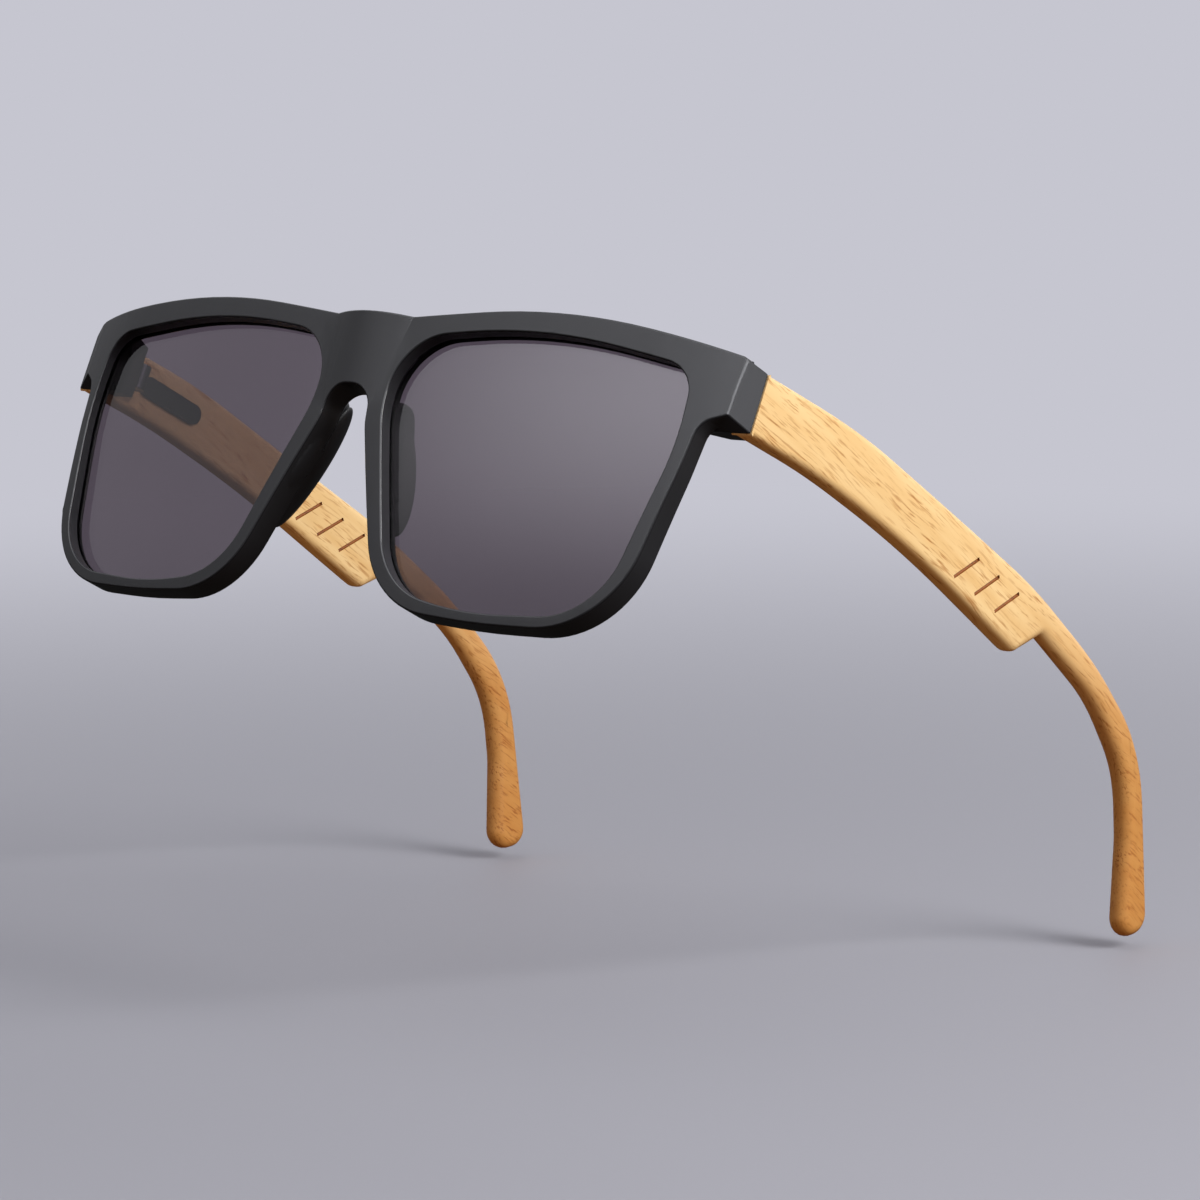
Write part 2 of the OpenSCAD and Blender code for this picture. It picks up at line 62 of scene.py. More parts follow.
# Edges that turn less than this are shaded smooth
SMOOTH_BELOW = math.radians(40)

# Side outline of a temple: distance back, height, radius of the corner
TEMPLE_CORNERS = [
    (11.25, -1.0, 0.4), (35.25, -0.1, 150), (91.25, -5.1, 120), (112.55, -9.5, 80), (132.55, -17.0, 30),
    (150.05, -44.4, 3.5), (142.75, -48.7, 3.5), (135.95, -33.0, 18), (129.95, -23.3, 22),
    (115.55, -15.7, 40), (94.95, -11.5, 1.2), (88.75, -16.9, 2.6), (55.0, -12.0, 300),
    (29.25, -10.6, 200), (11.25, -11.0, 0.4)]
TEMPLE_T = 4.0
# Most that a corner's arc turns, and the longest that it runs, from one point to the next
ARC_TURN = math.radians(4)
ARC_RUN = 3
# The temple's outer face is part of an upright cylinder: its radius and the middle of it
BOW_R = 1260.0
BOW_X = -1185.4895
BOW_Y = 71.4827
# Cuts across a temple, which let it follow the bow
CUTS, CUT_STEP, CUT_REACH = 45, 3, 0.0005
# Where the temples meet the front; there the rounding starts, as a share of itself, and grows over a length
JOINT_Y = 11.25
JOINT_CLEAR, JOINT_SHARE, JOINT_RUN = 0.6, 0.25, 9
LONG_EDGE = math.radians(60)
# Between these two distances the rounding grows from the sides' to the ear end's
EAR_FROM, EAR_TO = 78.0, 100.0
# From EAR_FROM to here painted shade darkens the wood, to these shares of its red, green and blue
EAR_SHADE_TO = 140
EAR_SHADE_SHARES = (0.72, 0.48, 0.27)

# Slanted grooves: place of the first one, steps to the next, length, radius, depth of its middle, slant
GROOVES = 3
GROOVE_Y, GROOVE_Z = 69.75, -9.4
GROOVE_STEP_Y, GROOVE_STEP_Z = 6.4, -0.5
GROOVE_L, GROOVE_R, GROOVE_SUNK = 7.2, 0.32, 0.1
GROOVE_SLANT = math.radians(-45)
# Ground and pores of the wood in the grooves, darkened as painted shade
GROOVE_SHADE, GROOVE_SHADE_PORE = "#96591F", "#4E2A0C"

# Hinge axis, and the turn of the spring box against the front
HINGE = (67.5, 18.75, -5.4)
HINGE_TURN = 2.04365
# From that axis, the lowest and highest corners of the spring box's pocket and of the slider's slot
POCKET = ((1.119, 2.65, -1.75), (4.369, 18.35, 1.75))
SLOT = ((0.0, -8.5, -1.15), (3.97, 6.1, 1.15))
# What is left flat at the pocket's round ends, on each side of their middle
POCKET_FLAT = 0.01

# Behind this distance the front has only its hinge blocks
SEAT_Y = 11.5
OUTLINE_ANGLE = math.radians(25)
# Distances from the middle between which the end pieces' creases run, and how far back they lie at most
CREASE_FROM, CREASE_TO, CREASE_Y = 69.5, 70.4, 9.2
CREASE_ANGLE = math.radians(6)
# Facets that turn less than this become one face before the front's edges are rounded
FLAT_ANGLE = math.radians(0.3)
# Left nose pad: its middle, half its width, depth and length, and its turns in degrees
PAD_AT = (9.3, 6.6, -23.2)
PAD_HALF = (1.5, 3.6, 11.4)
PAD_TURN = (6, -19, -22)

# Sizes of the patterns along X, Y and Z; the etched grain and the tool marks on metal are finer on the real
# thing, and are drawn as coarse as they need to show
ETCHED_GRAIN = (0.22, 0.22, 0.22)
PLASTIC_CLOUD = (9, 9, 9)
LENS_CLOUD = (30, 30, 18)
WOOD_SWAY = (14, 30, 14)
WOOD_PORES = (0.36, 5.2, 0.36)
WOOD_PATCHES = (3.5, 11, 3.5)
WOOD_RINGS = (2.2, 36, 2.2)
PLATING_MARKS = (0.4, 2.5, 0.15)
TURNING_MARKS = (0.3, 0.3, 0.08)
DRAWING_MARKS = (0.12, 0.12, 0.12)
# Slope of the wood's grain, and how many pores wide and long its pores sway
GRAIN_TILT = math.radians(-8)
GRAIN_SWAY = (11.0, 1.0, 11.0)

# Camera's aim: the distance back of its start, and how far the aim lies to the right of that and below it
AIM_Y, AIM_RIGHT, AIM_DOWN = 20, 24.503, 37.32
# From here on, in metres: sides of the level and the sloping floor, and a point on the sloping one
FLOOR_SIDE, SLOPE_SIDE = 4, 8
SLOPE_AT = (0, 0.075, -0.0005)
# Distances between which the floor fades into the backdrop
FADE_FROM, FADE_TO = 0.12, 0.75
# Key lamp: place, aim, width and height, power in watts
KEY_AT, KEY_AIM = (0.78, -0.16, 0.5), (0.05, 0.02, 0.02)
KEY_SIZE, KEY_POWER = (0.45, 0.45), 8.4
# Directions in the room, the first across the sloping floor
LEAN = Vector((0, -0.46, 0.89)).normalized()
UP, FRONT, LEFT = (0, 0, 1), (0, -1, 0), (1, 0, 0)
WINDOW_SIDE = (0.819, -0.574, 0.0)
STRIP_SIDE = (0.932, 0.363, 0.0)
# Shares of red, green and blue in the room's light, from above and back from the floor
COOL, WARM = (0.94, 0.95, 1.0), (1.0, 0.47, 0.14)
# From here on, pairs: the stretch of a direction over which a light changes, or its strengths there
TINT_STRETCH = (-0.4, 0.4)
ROOM_STRETCH, ROOM_LEVELS = (-0.5, 0.7), (0.2, 0.55)
GLOSS_STRETCH, GLOSS_LEVELS = (-0.15, 0.3), (0.03, 0.5)
CEILING_STRETCH, CEILING_LEVELS = (0.3, 0.55), (0.0, 0.5)
WINDOW_EDGE, WINDOW_SILL, WINDOW_FRONT = (-0.28, 0.22), (0.07, 0.29), (0.1, 0.6)
WINDOW_CURTAIN, CURTAIN_LEVELS = (0.3, 0.7), (1.0, 0.3)
STRIP_RISE, STRIP_FALL, STRIP_FRONT = (-0.09, -0.01), (0.01, 0.09), (0.5, 0.8)
STRIP_FOOT, FOOT_LEVELS = (0.05, 0.18), (0.12, 1.0)


def linear(code):
    """A colour written as sRGB hex, as linear RGBA."""
    parts = [int(code[i:i + 2], 16) / 255 for i in (1, 3, 5)]
    return tuple(c / 12.92 if c <= 0.04045 else ((c + 0.055) / 1.055) ** 2.4 for c in parts) + (1.0,)


def shaded(code, shares):
    """A colour written as sRGB hex, as linear RGBA, with only a share of its red, green and blue left."""
    return tuple(c * share for c, share in zip(linear(code), shares)) + (1.0,)


def put(tree, kind, inputs=None, **settings):
    """Add a node with its settings; an input that is a socket is linked, any other is set."""
    made = tree.nodes.new(kind)
    for name, value in settings.items():
        setattr(made, name, value)
    for name, value in (inputs or {}).items():
        if isinstance(value, bpy.types.NodeSocket):
            tree.links.new(value, made.inputs[name])
        else:
            made.inputs[name].default_value = value
    return made


def blank(name):
    """A new material that has only its output, with its node tree and that output."""
    material = bpy.data.materials.new(name)
    material.use_nodes = True
    material.node_tree.nodes.clear()
    return material, material.node_tree, material.node_tree.nodes.new("ShaderNodeOutputMaterial")


def stretched(tree, sizes_mm, tilt=0.0):
    """Object coordinates measured in pattern sizes, given in mm along X, Y and Z, and tilted about X."""
    place = put(tree, "ShaderNodeTexCoord")
    sizes = [size * MM for size in sizes_mm]
    return put(tree, "ShaderNodeMapping", {
        "Vector": place.outputs["Object"], "Rotation": (tilt, 0, 0), "Scale": sizes},
        vector_type="TEXTURE").outputs["Vector"]


class FinishSettings(bpy.types.PropertyGroup):
    """Colours of the finishes."""
    plastic: bpy.props.StringProperty(
        name="Plastic", description="Black of the moulded front", default="#1E1E20")
    lens: bpy.props.StringProperty(
        name="Lens", description="Tint of the lenses", default="#6C616A")
    wood: bpy.props.StringProperty(
        name="Wood", description="Ground colour of the temples", default="#F7DAA3")
    grain: bpy.props.StringProperty(
        name="Grain", description="Colour of the wood's pores", default="#B37636")
    dark_metal: bpy.props.StringProperty(
        name="Dark metal", description="Plating of the hinges", default="#4A4A4F")
    steel: bpy.props.StringProperty(
        name="Steel", description="Screws and springs", default="#B9B9BE")


class ShapeSettings(bpy.types.PropertyGroup):
    """Sizes of the rounded pieces."""
    wood_round: bpy.props.FloatProperty(
        name="Wood rounding", description="Radius of the temples' long edges, in mm",
        default=1.3, min=0.2, max=1.9)
    ear_round: bpy.props.FloatProperty(
        name="Ear rounding", description="Radius of the ear ends' edges, in mm",
        default=1.9, min=0.2, max=1.95)
    plastic_round: bpy.props.FloatProperty(
        name="Plastic rounding", description="Radius of the front's edges, in mm",
        default=0.3, min=0.05, max=0.5)


class StageSettings(bpy.types.PropertyGroup):
    """Camera and light."""
    azimuth: bpy.props.FloatProperty(
        name="Azimuth", description="Camera's turn round the glasses",
        default=math.radians(41.508), subtype="ANGLE")
    elevation: bpy.props.FloatProperty(
        name="Elevation", description="Camera's height angle",
        default=math.radians(-13.382), subtype="ANGLE")
    roll: bpy.props.FloatProperty(
        name="Roll", description="Camera's turn about its view",
        default=math.radians(17.129), subtype="ANGLE")
    distance: bpy.props.FloatProperty(
        name="Distance", description="From the camera to its aim", default=0.808127, unit="LENGTH")
    lens: bpy.props.FloatProperty(
        name="Lens", description="Focal length in mm", default=149.495, subtype="DISTANCE_CAMERA")
    backdrop: bpy.props.StringProperty(
        name="Backdrop", description="Colour behind the glasses", default="#C6C6D0")
    floor: bpy.props.StringProperty(
        name="Floor", description="Colour of the floor", default="#96959C")
    window: bpy.props.FloatProperty(
        name="Window", description="Strength of the front window in gloss", default=2.4, min=0)
    strip: bpy.props.FloatProperty(
        name="Strip", description="Strength of the narrow bright strip in gloss", default=9.5, min=0)


def plastic_finish(name, finish, roughness):
    """Nylon, moulded in an etched tool and tumbled: black, matte on its faces, smoother on its edges."""
    material, tree, out = blank(name)
    grain = put(tree, "ShaderNodeTexNoise", {
        "Vector": stretched(tree, ETCHED_GRAIN), "Scale": 1.0, "Detail": 3.0})
    cloud = put(tree, "ShaderNodeTexNoise", {
        "Vector": stretched(tree, PLASTIC_CLOUD), "Scale": 1.0, "Detail": 2.0})
    shade = put(tree, "ShaderNodeMix", {
        "Factor": cloud.outputs["Fac"], "A": linear(finish.plastic), "B": linear("#242427")},
        data_type="RGBA")
    rough = put(tree, "ShaderNodeMapRange", {
        "Value": grain.outputs["Fac"], "From Min": 0.3, "From Max": 0.7,
        "To Min": roughness - 0.04, "To Max": roughness + 0.04})
    bump = put(tree, "ShaderNodeBump", {
        "Height": grain.outputs["Fac"], "Strength": 0.3 * roughness, "Distance": 0.03 * MM})
    surface = put(tree, "ShaderNodeBsdfPrincipled", {
        "Base Color": shade.outputs[2], "Roughness": rough.outputs["Result"], "IOR": 1.46,
        "Normal": bump.outputs["Normal"]})
    tree.links.new(surface.outputs["BSDF"], out.inputs["Surface"])
    return material


def lens_finish(finish):
    """Polycarbonate, moulded and hard-coated: dark violet grey, clear, mirror smooth."""
    material, tree, out = blank("tinted_polycarbonate")
    cloud = put(tree, "ShaderNodeTexNoise", {
        "Vector": stretched(tree, LENS_CLOUD), "Scale": 1.0, "Detail": 1.0})
    tint = put(tree, "ShaderNodeMix", {
        "Factor": cloud.outputs["Fac"], "A": linear(finish.lens), "B": linear("#665B64")},
        data_type="RGBA")
    surface = put(tree, "ShaderNodeBsdfPrincipled", {
        "Base Color": tint.outputs[2], "Roughness": 0.0, "IOR": 1.58, "Transmission Weight": 1.0})
    tree.links.new(surface.outputs["BSDF"], out.inputs["Surface"])
    return material


def wood_finish(name, light, pore):
    """Oak, sawn along the grain and oiled: light ground with short dark pores, and painted shade darkening
    it towards the ear end.
    """
    material, tree, out = blank(name)
    sway = put(tree, "ShaderNodeTexNoise", {
        "Vector": stretched(tree, WOOD_SWAY), "Scale": 1.0, "Detail": 1.0})
    bend = put(tree, "ShaderNodeVectorMath", {
        0: sway.outputs["Color"], 1: GRAIN_SWAY, 2: stretched(tree, WOOD_PORES, GRAIN_TILT)},
        operation="MULTIPLY_ADD")
    pores = put(tree, "ShaderNodeTexNoise", {
        "Vector": bend.outputs["Vector"], "Scale": 1.0, "Detail": 2.0, "Roughness": 0.5})
    patches = put(tree, "ShaderNodeTexNoise", {
        "Vector": stretched(tree, WOOD_PATCHES, GRAIN_TILT), "Scale": 1.0, "Detail": 1.0})
    patchy = put(tree, "ShaderNodeMapRange", {
        "Value": patches.outputs["Fac"], "From Min": 0.38, "From Max": 0.6, "To Min": 0.3, "To Max": 0.9})
    sharp = put(tree, "ShaderNodeMapRange", {
        "Value": pores.outputs["Fac"], "From Min": 0.53, "From Max": 0.69, "To Min": 0.0, "To Max": 1.0})
    dashes = put(tree, "ShaderNodeMapRange", {
        "Value": sharp.outputs["Result"], "To Max": patchy.outputs["Result"]})
    rings = put(tree, "ShaderNodeTexNoise", {
        "Vector": stretched(tree, WOOD_RINGS, GRAIN_TILT), "Scale": 1.0, "Detail": 2.0})
    ground = put(tree, "ShaderNodeMix", {
        "Factor": rings.outputs["Fac"], "A": linear(light), "B": shaded(light, (0.8, 0.64, 0.45))},
        data_type="RGBA")
    streaked = put(tree, "ShaderNodeMix", {
        "Factor": dashes.outputs["Result"], "A": ground.outputs[2], "B": linear(pore)}, data_type="RGBA")
    along = put(tree, "ShaderNodeSeparateXYZ", {"Vector": stretched(tree, (1, 1, 1))})
    # Painted shade: a mask that darkens the wood from EAR_FROM back towards the ear end
    ear_shade_mask = put(tree, "ShaderNodeMapRange", {
        "Value": along.outputs["Y"], "From Min": EAR_FROM + ZERO_Y, "From Max": EAR_SHADE_TO + ZERO_Y},
        interpolation_type="SMOOTHSTEP")
    colour = put(tree, "ShaderNodeMix", {
        "Factor": ear_shade_mask.outputs["Result"], "A": streaked.outputs[2], "B": shaded("#FFFFFF", EAR_SHADE_SHARES)},
        data_type="RGBA", blend_type="MULTIPLY")
    bump = put(tree, "ShaderNodeBump", {
        "Height": dashes.outputs["Result"], "Strength": 0.25, "Distance": 0.1 * MM}, invert=True)
    rough = put(tree, "ShaderNodeMapRange", {
        "Value": pores.outputs["Fac"], "To Min": 0.36, "To Max": 0.52})
    surface = put(tree, "ShaderNodeBsdfPrincipled", {
        "Base Color": colour.outputs[2], "Roughness": rough.outputs["Result"], "IOR": 1.47,
        "Normal": bump.outputs["Normal"]})
    tree.links.new(surface.outputs["BSDF"], out.inputs["Surface"])
    return material


def metal_finish(name, shade, roughness, sizes_mm):
    """Steel, plated, turned or drawn: noise stretched along the tool's path breaks up its gloss."""
    material, tree, out = blank(name)
    marks = put(tree, "ShaderNodeTexNoise", {
        "Vector": stretched(tree, sizes_mm), "Scale": 1.0, "Detail": 3.0})
    colour = put(tree, "ShaderNodeMix", {
        "Factor": marks.outputs["Fac"], "A": linear(shade), "B": shaded(shade, (0.75, 0.75, 0.75))},
        data_type="RGBA")
    rough = put(tree, "ShaderNodeMapRange", {
        "Value": marks.outputs["Fac"], "To Min": roughness - 0.08, "To Max": roughness + 0.1})
    bump = put(tree, "ShaderNodeBump", {
        "Height": marks.outputs["Fac"], "Strength": 0.15, "Distance": 0.02 * MM})
    surface = put(tree, "ShaderNodeBsdfPrincipled", {
        "Base Color": colour.outputs[2], "Metallic": 1.0, "Roughness": rough.outputs["Result"],
        "Normal": bump.outputs["Normal"]})
    tree.links.new(surface.outputs["BSDF"], out.inputs["Surface"])
    return material


def dress(node, material):
    """Give a CAD node its one material."""
    mesh = NODES[node].data
    mesh.materials.clear()
    mesh.materials.append(material)


def cad_copy(node, reach):
    """A copy of a CAD node's mesh, in metres, its loose triangles merged within a reach in mm."""
    bm = bmesh.new()
    bm.from_mesh(NODES[node].data)
    bmesh.ops.remove_doubles(bm, verts=bm.verts, dist=reach * MM)
    return bm


def new_object(name, bm, *materials):
    """Turn a bmesh in metres into an object of the scene."""
    mesh = bpy.data.meshes.new(name)
    bm.to_mesh(mesh)
    bm.free()
    for material in materials:
        mesh.materials.append(material)
    piece = bpy.data.objects.new(name, mesh)
    bpy.context.scene.collection.objects.link(piece)
    return piece


def new_piece(name, bm, material):
    """Turn a bmesh in mm, measured from the part's own zero, into an object in the frame."""
    bmesh.ops.scale(bm, vec=(MM, MM, MM), verts=bm.verts)
    bmesh.ops.translate(bm, vec=(0, ZERO_Y * MM, ZERO_Z * MM), verts=bm.verts)
    return new_object(name, bm, material)


def smooth(piece):
    """Shade a piece smooth between its sharp edges."""
    piece.data.shade_smooth()
    piece.data.set_sharp_from_angle(angle=SMOOTH_BELOW)


def rounded_outline(bm, corners):
    """A flat face in Y and Z whose corners are each spun to their own radius."""
    ends = []
    count = len(corners)
    for i, (y, z, radius) in enumerate(corners):
        corner = Vector((0, y, z))
        before = (Vector((0, *corners[i - 1][:2])) - corner).normalized()
        after = (Vector((0, *corners[(i + 1) % count][:2])) - corner).normalized()
        half = before.angle(after) / 2
        centre = corner + (before + after).normalized() * radius / math.sin(half)
        start = corner + before * radius / math.tan(half)
        turn = math.pi - 2 * half
        axis = before.cross(after)
        steps = max(2, math.ceil(turn / ARC_TURN), math.ceil(turn * radius / ARC_RUN))
        first = bm.verts.new(start)
        spun = bmesh.ops.spin(
            bm, geom=[first], cent=centre, axis=axis, angle=-turn, steps=steps, dvec=(0, 0, 0),
            use_merge=False)
        ends.append((first, spun["geom_last"][0]))
    for i in range(count):
        bm.edges.new((ends[i - 1][1], ends[i][0]))
    return bmesh.ops.contextual_create(bm, geom=bm.edges[:])["faces"][0]


def worked(piece, radius, cutters):
    """Round a piece's weighted edges and take the cutters out of it for good, and delete the cutters."""
    rounding = piece.modifiers.new("round", "BEVEL")
    rounding.limit_method = "WEIGHT"
    rounding.width = radius * MM
    rounding.segments = 6
    rounding.use_clamp_overlap = False
    for cutter in cutters:
        tool = piece.modifiers.new("cut", "BOOLEAN")
        tool.object = cutter
        tool.operation = "DIFFERENCE"
        tool.solver = "EXACT"
        tool.material_mode = "TRANSFER"
    graph = bpy.context.evaluated_depsgraph_get()
    result = bpy.data.meshes.new_from_object(piece.evaluated_get(graph))
    piece.modifiers.clear()
    old = piece.data
    piece.data = result
    bpy.data.meshes.remove(old)
    for cutter in cutters:
        bpy.data.objects.remove(cutter)


def outer_x(y):
    """Place of a temple's outer face, in mm."""
    return BOW_X + math.sqrt(BOW_R ** 2 - (y - BOW_Y) ** 2)


def eased(value, low, high):
    """How far a value has come from low to high, from 0 to 1, with a soft start and end."""
    share = min(max((value - low) / (high - low), 0.0), 1.0)
    return share * share * (3 - 2 * share)


def temple_blank(side_radius, ear_radius):
    """A temple sawn to its outline and bowed, in mm, its long edges weighted for their rounding."""
    bm = bmesh.new()
    face = rounded_outline(bm, TEMPLE_CORNERS)
    grown = bmesh.ops.extrude_face_region(bm, geom=[face])["geom"]
    inner = [item for item in grown if isinstance(item, bmesh.types.BMVert)]
    bmesh.ops.translate(bm, vec=(-TEMPLE_T, 0, 0), verts=inner)
    bmesh.ops.recalc_face_normals(bm, faces=bm.faces)
    for step in range(1, CUTS + 1):
        bmesh.ops.bisect_plane(
            bm, geom=bm.verts[:] + bm.edges[:] + bm.faces[:], dist=CUT_REACH,
            plane_co=(0, JOINT_Y + CUT_STEP * step, 0), plane_no=(0, 1, 0))
    weight = bm.edges.layers.float.new("bevel_weight_edge")
    for edge in bm.edges:
        y = sum(v.co.y for v in edge.verts) / 2
        if edge.calc_face_angle(0) > LONG_EDGE and y > JOINT_Y + JOINT_CLEAR:
            radius = side_radius + (ear_radius - side_radius) * eased(y, EAR_FROM, EAR_TO)
            share = JOINT_SHARE + (1 - JOINT_SHARE) * eased(y, JOINT_Y, JOINT_Y + JOINT_RUN)
            edge[weight] = radius / ear_radius * share
    for v in bm.verts:
        v.co.x += outer_x(v.co.y)
    return bm


def groove_cutter():
    """The slanted grooves on both faces of a temple, in mm."""
    bm = bmesh.new()
    slant = Matrix.Rotation(GROOVE_SLANT, 4, "X")
    for i in range(GROOVES):
        y = GROOVE_Y + i * GROOVE_STEP_Y
        z = GROOVE_Z + i * GROOVE_STEP_Z
        for x in (outer_x(y) - GROOVE_SUNK, outer_x(y) - TEMPLE_T + GROOVE_SUNK):
            bmesh.ops.create_cone(
                bm, cap_ends=True, segments=16, radius1=GROOVE_R, radius2=GROOVE_R, depth=GROOVE_L,
                matrix=Matrix.Translation((x, y, z)) @ slant)
    return bm


def hinge_cutter(low, high, round_ends):
    """A block between two corners, in mm from the hinge axis along the temple, its ends round or square."""
    bm = bmesh.new()
    low, high = Vector(low), Vector(high)
    block = Matrix.Translation((low + high) / 2) @ Matrix.Diagonal((*(high - low), 1))
    bmesh.ops.create_cube(bm, size=1, matrix=block)
    if round_ends:
        across = [e for e in bm.edges if abs(e.verts[0].co.x - e.verts[1].co.x) > 0.1]
        bmesh.ops.bevel(
            bm, geom=across, offset=(high.z - low.z) / 2 - POCKET_FLAT, offset_type="OFFSET", segments=10,
            profile=0.5, affect="EDGES", material=-1)
    turn = Matrix.Rotation(-math.radians(HINGE_TURN), 4, "Z")
    bmesh.ops.transform(bm, matrix=Matrix.Translation(HINGE) @ turn, verts=bm.verts)
    return bm


class SUNGLASSES_OT_temples(bpy.types.Operator):
    """Make both wooden temples: sawn, bowed, rounded, grooved and let in for the hinges"""
    bl_idname = "sunglasses.temples"
    bl_label = "Wooden temples"

    def execute(self, context):
        shape = context.scene.sunglasses_shape
        finish = context.scene.sunglasses_finish
        oiled = wood_finish("oiled_honey_oak", finish.wood, finish.grain)
        # Painted shade: a darker wood for the grooves' walls, where shade falls in the real grooves
        groove_shade = wood_finish("groove_shaded_oak", GROOVE_SHADE, GROOVE_SHADE_PORE)
        for side, sign in SIDES.items():
            meshes = [
                temple_blank(shape.wood_round, shape.ear_round), groove_cutter(),
                hinge_cutter(*POCKET, True), hinge_cutter(*SLOT, False)]
            if sign < 0:
                for bm in meshes:
                    bmesh.ops.scale(bm, vec=(-1, 1, 1), verts=bm.verts)
                    bmesh.ops.reverse_faces(bm, faces=bm.faces)
            piece = new_piece("wooden_temple_" + side, meshes[0], oiled)
            # The groove cutter leaves the painted-shade wood on the grooves' walls
            walls = (groove_shade, oiled, oiled)
            cutters = [new_piece("cutter", bm, wall) for bm, wall in zip(meshes[1:], walls)]
            worked(piece, shape.ear_round, cutters)
            smooth(piece)
            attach(piece, side + "_temple")
            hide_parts("temple_" + side)
        return {"FINISHED"}


def on_outline(edge):
    """Whether an edge of the front is sharp, stands out and lies before the hinge blocks."""
    before = all(v.co.y / MM - ZERO_Y < SEAT_Y for v in edge.verts)
    return before and edge.calc_face_angle_signed() > OUTLINE_ANGLE


def on_crease(edge):
    """Whether an edge lies on the crease between the front's face and an end piece's slanted side."""
    inside = [
        CREASE_FROM < abs(v.co.x) / MM < CREASE_TO and v.co.y / MM - ZERO_Y < CREASE_Y for v in edge.verts]
    return all(inside) and edge.calc_face_angle() > CREASE_ANGLE


def add_nose_pad(bm, sign):
    """Draw one of the front's nose pads out into a long smooth crescent behind the rim."""
    turn = Euler([math.radians(angle) for angle in PAD_TURN]).to_matrix().to_4x4()
    place = Matrix.Translation(PAD_AT) @ turn @ Matrix.Diagonal((*PAD_HALF, 1))
    zero = Matrix.Translation((0, ZERO_Y * MM, ZERO_Z * MM)) @ Matrix.Diagonal((sign * MM, MM, MM, 1))
    verts = bmesh.ops.create_uvsphere(
        bm, u_segments=32, v_segments=32, radius=1, matrix=zero @ place)["verts"]
    if sign < 0:
        bmesh.ops.reverse_faces(bm, faces=list({face for v in verts for face in v.link_faces}))


class SUNGLASSES_OT_front(bpy.types.Operator):
    """Make the moulded front, with its edges softened as a mould leaves them"""
    bl_idname = "sunglasses.front"
    bl_label = "Moulded front"

    def execute(self, context):
        scene = context.scene
        bm = cad_copy("front_frame", 0.01)
        bmesh.ops.dissolve_limit(bm, angle_limit=FLAT_ANGLE, verts=bm.verts, edges=bm.edges)
        sharp = [e for e in bm.edges if e.is_manifold and (on_outline(e) or on_crease(e))]
        fillets = bmesh.ops.bevel(
            bm, geom=sharp, offset=scene.sunglasses_shape.plastic_round * MM, offset_type="OFFSET",
            segments=3, profile=0.5, affect="EDGES", material=-1, clamp_overlap=False,
            loop_slide=False)["faces"]
        for face in fillets:
            face.material_index = 1
        for sign in SIDES.values():
            add_nose_pad(bm, sign)
        faces = plastic_finish("moulded_matte_nylon", scene.sunglasses_finish, roughness=0.41)
        edges = plastic_finish("tumbled_nylon_edge", scene.sunglasses_finish, roughness=0.2)
        piece = new_object("moulded_front", bm, faces, edges)
        smooth(piece)
        normals = piece.modifiers.new("normals", "WEIGHTED_NORMAL")
        normals.keep_sharp = True
        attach(piece, "front")
        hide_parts("front_frame")
        return {"FINISHED"}


class SUNGLASSES_OT_lenses(bpy.types.Operator):
    """Finish the two tinted lenses"""
    bl_idname = "sunglasses.lenses"
    bl_label = "Tinted lenses"

    def execute(self, context):
        tinted = lens_finish(context.scene.sunglasses_finish)
        for side in SIDES:
            dress("lens_" + side, tinted)
        return {"FINISHED"}


class SUNGLASSES_OT_hinges(bpy.types.Operator):
    """Finish the metal pieces of the sprung hinges"""
    bl_idname = "sunglasses.hinges"
    bl_label = "Sprung hinges"

    def execute(self, context):
        finish = context.scene.sunglasses_finish
        plated = metal_finish(
            "satin_plated_steel", finish.dark_metal, roughness=0.34, sizes_mm=PLATING_MARKS)
        turned = metal_finish(
            "turned_stainless_steel", finish.steel, roughness=0.26, sizes_mm=TURNING_MARKS)
        for side in SIDES:
            for name in ("hinge_fork_", "slider_", "spring_box_"):
                dress(name + side, plated)
            for name in ("fork_screws_", "hinge_screw_", "guide_bush_", "end_nut_"):
                dress(name + side, turned)
        return {"FINISHED"}


class SUNGLASSES_OT_springs(bpy.types.Operator):
    """Make the coil springs, which move with the temples"""
    bl_idname = "sunglasses.springs"
    bl_label = "Coil springs"

    def execute(self, context):
        finish = context.scene.sunglasses_finish
        drawn = metal_finish("drawn_spring_steel", finish.steel, roughness=0.22, sizes_mm=DRAWING_MARKS)
        for side, sign in SIDES.items():
            node = "flex_spring_" + side
            piece = new_object("coil_spring_" + side, cad_copy(node, 0.001), drawn)
            smooth(piece)
            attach(piece, side + "_temple")
            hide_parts(node)
            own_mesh(piece)
        return {"FINISHED"}


def stage_plane(name, size, place, normal, material):
    """A flat square of the stage, turned to a normal."""
    bm = bmesh.new()
    bmesh.ops.create_grid(bm, x_segments=1, y_segments=1, size=size / 2)
    turn = Vector(UP).rotation_difference(Vector(normal)).to_matrix().to_4x4()
    bmesh.ops.transform(bm, matrix=Matrix.Translation(place) @ turn, verts=bm.verts)
    plane = new_object(name, bm, material)
    return plane


